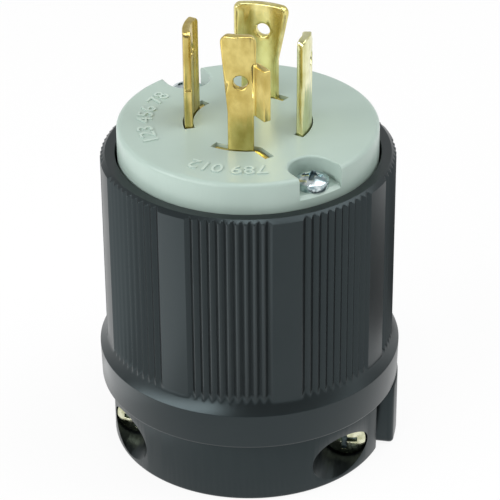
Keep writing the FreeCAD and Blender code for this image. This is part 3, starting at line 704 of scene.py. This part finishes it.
def extend_loop(solid, edges, place):
    made = bmesh.ops.extrude_edge_only(solid, edges=edges)["geom"]
    for vertex in (item for item in made if isinstance(item, bmesh.types.BMVert)):
        angle = math.atan2(vertex.co.y, vertex.co.x)
        vertex.co = (place.x * math.cos(angle), place.x * math.sin(angle), place.y)
    return [item for item in made if isinstance(item, bmesh.types.BMEdge)]


def is_flange_edge(edge):
    """The circle where the flare meets the flange's side."""
    return all(abs(v.co.z - FLANGE_TOP) < MERGE_DISTANCE for v in edge.verts)


def close_shell(mesh):
    solid = bmesh.new()
    solid.from_mesh(mesh)
    edges = [
        edge for edge in solid.edges
        if edge.is_boundary and min(v.co.z for v in edge.verts) > RIM_TOP - MERGE_DISTANCE
    ]
    for place in SHELL_OUTLINE[1:]:
        edges = extend_loop(solid, edges, place)
    bmesh.ops.remove_doubles(solid, verts=solid.verts, dist=MERGE_DISTANCE)
    bmesh.ops.recalc_face_normals(solid, faces=solid.faces)
    open_edges = sum(edge.is_boundary for edge in solid.edges)
    mark_edges(solid, is_flange_edge)
    solid.to_mesh(mesh)
    solid.free()
    return open_edges


print("open edges left on the shell:", close_shell(shell.data))
round_marked_edges(shell, FLANGE_EDGE_MM)
dress(shell, "black_nylon", "body_shell")
print("shell faces:", len(shell.data.polygons))

# %% [markdown]
# ## Raised numbers on the nose
# Such a nose carries small raised marks. Here they are plain numbers.
# A Geometry Nodes tree turns a string into outlines, fills them, gives them a height, and then
# bends the flat line of numbers round the nose: distance along the line becomes an angle. The
# numbers' tops point outward, as on the plug.

# %% Build the numbers' tree
NUMBER_SIZE = 3.5 * MM
NUMBER_RING_RADIUS = 14.8 * MM
NUMBER_RELIEF = 0.2 * MM


def raised_numbers_inputs(text, middle_degrees):
    return (
        ("Numbers", "NodeSocketString", text),
        ("Font Size", "NodeSocketFloat", NUMBER_SIZE),
        ("Ring Radius", "NodeSocketFloat", NUMBER_RING_RADIUS),
        ("Middle", "NodeSocketFloat", math.radians(middle_degrees)),
        ("Face Height", "NodeSocketFloat", FACE_HEIGHT),
        ("Relief", "NodeSocketFloat", NUMBER_RELIEF),
        # The numbers' lighter grey is a painted highlight.
        ("Material", "NodeSocketMaterial", PAINTED_HIGHLIGHT_NYLON),
    )


def raised_numbers_tree(inputs):
    tree = new_tree("raised numbers", inputs)
    size = tree.nodes.new("NodeGroupInput").outputs
    text = add_node(
        tree, "GeometryNodeStringToCurves", String=size["Numbers"], Size=size["Font Size"])
    text.align_x = "CENTER"
    outlines = add_node(tree, "GeometryNodeRealizeInstances", Geometry=text.outputs[0])
    flat = add_node(tree, "GeometryNodeFillCurve", Curve=outlines.outputs[0])
    raised = add_node(
        tree, "GeometryNodeExtrudeMesh", Mesh=flat.outputs[0], Offset_Scale=size["Relief"])
    underside = add_node(tree, "GeometryNodeFlipFaces", Mesh=flat.outputs[0])
    both = tree.nodes.new("GeometryNodeJoinGeometry")
    tree.links.new(raised.outputs[0], both.inputs[0])
    tree.links.new(underside.outputs[0], both.inputs[0])
    merged = add_node(
        tree, "GeometryNodeMergeByDistance", Geometry=both.outputs[0], Distance=MERGE_DISTANCE)
    place = tree.nodes.new("ShaderNodeSeparateXYZ")
    tree.links.new(tree.nodes.new("GeometryNodeInputPosition").outputs[0], place.inputs[0])
    angle = calculate(
        tree, "SUBTRACT", size["Middle"],
        calculate(tree, "DIVIDE", place.outputs["X"], size["Ring Radius"]))
    radius = calculate(tree, "ADD", size["Ring Radius"], place.outputs["Y"])
    bent = add_node(
        tree, "GeometryNodeSetPosition", Geometry=merged.outputs[0],
        Position=join_xyz(
            tree,
            calculate(tree, "MULTIPLY", radius, calculate(tree, "COSINE", angle)),
            calculate(tree, "MULTIPLY", radius, calculate(tree, "SINE", angle)),
            calculate(tree, "ADD", place.outputs["Z"], size["Face Height"])))
    coloured = add_node(
        tree, "GeometryNodeSetMaterial", Geometry=bent.outputs[0], Material=size["Material"])
    tree.links.new(coloured.outputs[0], tree.nodes.new("NodeGroupOutput").inputs[0])
    return tree


def raised_numbers(name, text, middle_degrees):
    inputs = raised_numbers_inputs(text, middle_degrees)
    piece = apply_tree(name, raised_numbers_tree(inputs), inputs)
    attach(piece, "root")
    return piece


raised_numbers("left_numbers", "123 456 78", -173.5)
front_numbers = raised_numbers("front_numbers", "789 012", -90.5)
print("face height in mm:", round(FACE_HEIGHT / MM, 2), "faces:", len(front_numbers.data.polygons))

# %% [markdown]
# ## Finishes on the inner pieces
# The pieces inside the shell keep their CAD shape. They only need the right finish, which goes
# straight into their material slots.

# %% Finish the inner pieces
INNER_FINISHES = {
    "retainer_plate": FIBRE,
    "terminal_housing": WHITE_NYLON,
    "terminal_screw": ZINC,
    "pressure_plate": ZINC,
    "threaded_insert": BRASS,
    "clamp_nut": ZINC,
}


def finish_node(name, material):
    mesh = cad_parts[name].data
    mesh.materials.clear()
    mesh.materials.append(material)


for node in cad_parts:
    for start, material in INNER_FINISHES.items():
        if node.startswith(start):
            finish_node(node, material)
print("inner pieces finished")

# %% [markdown]
# ## The studio
# The photograph has a plain white ground and soft light from all round, with a brighter panel
# at the left. The white of the ground is seen by the camera and by reflections, and takes no
# part in lighting the plug, so the colours stay as they were mixed. The room is white near the
# horizon, and above it darker behind the camera than behind the plug.
#
# The wide left panel makes the highlight on the flare. A small one, high in front, lights the
# nose's face and edge. A low one at the left and a dark card at the right shape the
# reflections on the black shell. The last two stand at the right and overhead.

# %% Floor, world and lamps
FRONT_LIGHT = 0.15
BACK_LIGHT = 0.58


def make_floor():
    solid = bmesh.new()
    bmesh.ops.create_grid(solid, x_segments=1, y_segments=1, size=2.0)
    mesh = bpy.data.meshes.new("floor")
    solid.to_mesh(mesh)
    solid.free()
    floor = new_piece("floor", mesh)
    material = new_finish("white ground", 0.6)
    tree = material.node_tree
    shader_of(material).inputs["Base Color"].default_value = (0.9, 0.9, 0.9, 1)
    path = tree.nodes.new("ShaderNodeLightPath")
    seen = calculate(
        tree, "MAXIMUM", path.outputs["Is Transmission Ray"],
        calculate(tree, "MAXIMUM", path.outputs["Is Camera Ray"], path.outputs["Is Glossy Ray"]))
    glow = tree.nodes.new("ShaderNodeEmission")
    glow.inputs["Color"].default_value = (1, 1, 1, 1)
    mix = tree.nodes.new("ShaderNodeMixShader")
    tree.links.new(calculate(tree, "MULTIPLY", seen, 0.9), mix.inputs[0])
    tree.links.new(shader_of(material).outputs[0], mix.inputs[1])
    tree.links.new(glow.outputs[0], mix.inputs[2])
    tree.links.new(mix.outputs[0], tree.nodes["Material Output"].inputs["Surface"])
    mesh.materials.append(material)
    return floor


def spread_value(tree, value, start, end, first, last):
    """Takes a value from the range start to end into the range first to last."""
    node = tree.nodes.new("ShaderNodeMapRange")
    for socket, number in zip(node.inputs, (value, start, end, first, last)):
        connect(tree, number, socket)
    return node.outputs["Result"]


def make_world():
    world = bpy.data.worlds.new("studio")
    bpy.context.scene.world = world
    world.use_nodes = True
    tree = world.node_tree
    background = tree.nodes["Background"]
    background.inputs["Color"].default_value = (1, 1, 1, 1)
    direction = tree.nodes.new("ShaderNodeSeparateXYZ")
    tree.links.new(tree.nodes.new("ShaderNodeTexCoord").outputs["Generated"], direction.inputs[0])
    room = spread_value(tree, direction.outputs["Y"], -0.8, 0.3, FRONT_LIGHT, BACK_LIGHT)
    horizon = spread_value(tree, direction.outputs["Z"], 0.06, 0.2, 1.0, 0.0)
    rest = calculate(tree, "MULTIPLY", calculate(tree, "SUBTRACT", 1.0, room), horizon)
    tree.links.new(calculate(tree, "ADD", room, rest), background.inputs["Strength"])


def make_lamp(name, place_mm, size_mm, watts, facing=None):
    """A rectangular lamp that faces the camera's target, or the given direction."""
    data = bpy.data.lights.new(name, "AREA")
    data.shape = "RECTANGLE"
    data.size = size_mm[0] * MM
    data.size_y = size_mm[1] * MM
    data.energy = watts
    lamp = bpy.data.objects.new(name, data)
    bpy.context.scene.collection.objects.link(lamp)
    lamp.location = Vector(place_mm) * MM
    lamp.visible_camera = False
    aim = facing or CAMERA_TARGET - lamp.location
    lamp.rotation_mode = "QUATERNION"
    lamp.rotation_quaternion = aim.to_track_quat("-Z", "Y")
    return lamp


def make_dark_card(place_mm, size_mm, turn_degrees):
    """A black card that lies on the ground, out of the camera's sight, and darkens a reflection."""
    solid = bmesh.new()
    bmesh.ops.create_grid(solid, x_segments=1, y_segments=1, size=0.5 * MM)
    mesh = bpy.data.meshes.new("dark_card")
    solid.to_mesh(mesh)
    solid.free()
    card = new_piece("dark_card", mesh)
    card.scale = (*size_mm, 1)
    card.location = Vector(place_mm) * MM
    card.rotation_euler = (0, 0, math.radians(turn_degrees))
    material = new_finish("black card", 0.9)
    shader_of(material).inputs["Base Color"].default_value = (0.2, 0.2, 0.2, 1)
    mesh.materials.append(material)
    card.visible_camera = False
    card.visible_shadow = False
    card.visible_diffuse = False
    return card


make_floor()
make_world()
make_dark_card((68, 28, 0.5), (44, 90), 40)
make_lamp("left_panel", (-295, -305, 280), (560, 140), 1.8)
make_lamp("front_panel", (30, -150, 450), (120, 120), 0.33)
make_lamp("low_panel", (-78, -48, 1), (90, 110), 0.023, Vector((0, 0, 1)))
make_lamp("right_panel", (460, 10, 250), (160, 400), 0.18)
make_lamp("top_panel", (260, 60, 460), (380, 380), 1.15)
bpy.context.scene.view_settings.view_transform = "Standard"
print("studio ready")
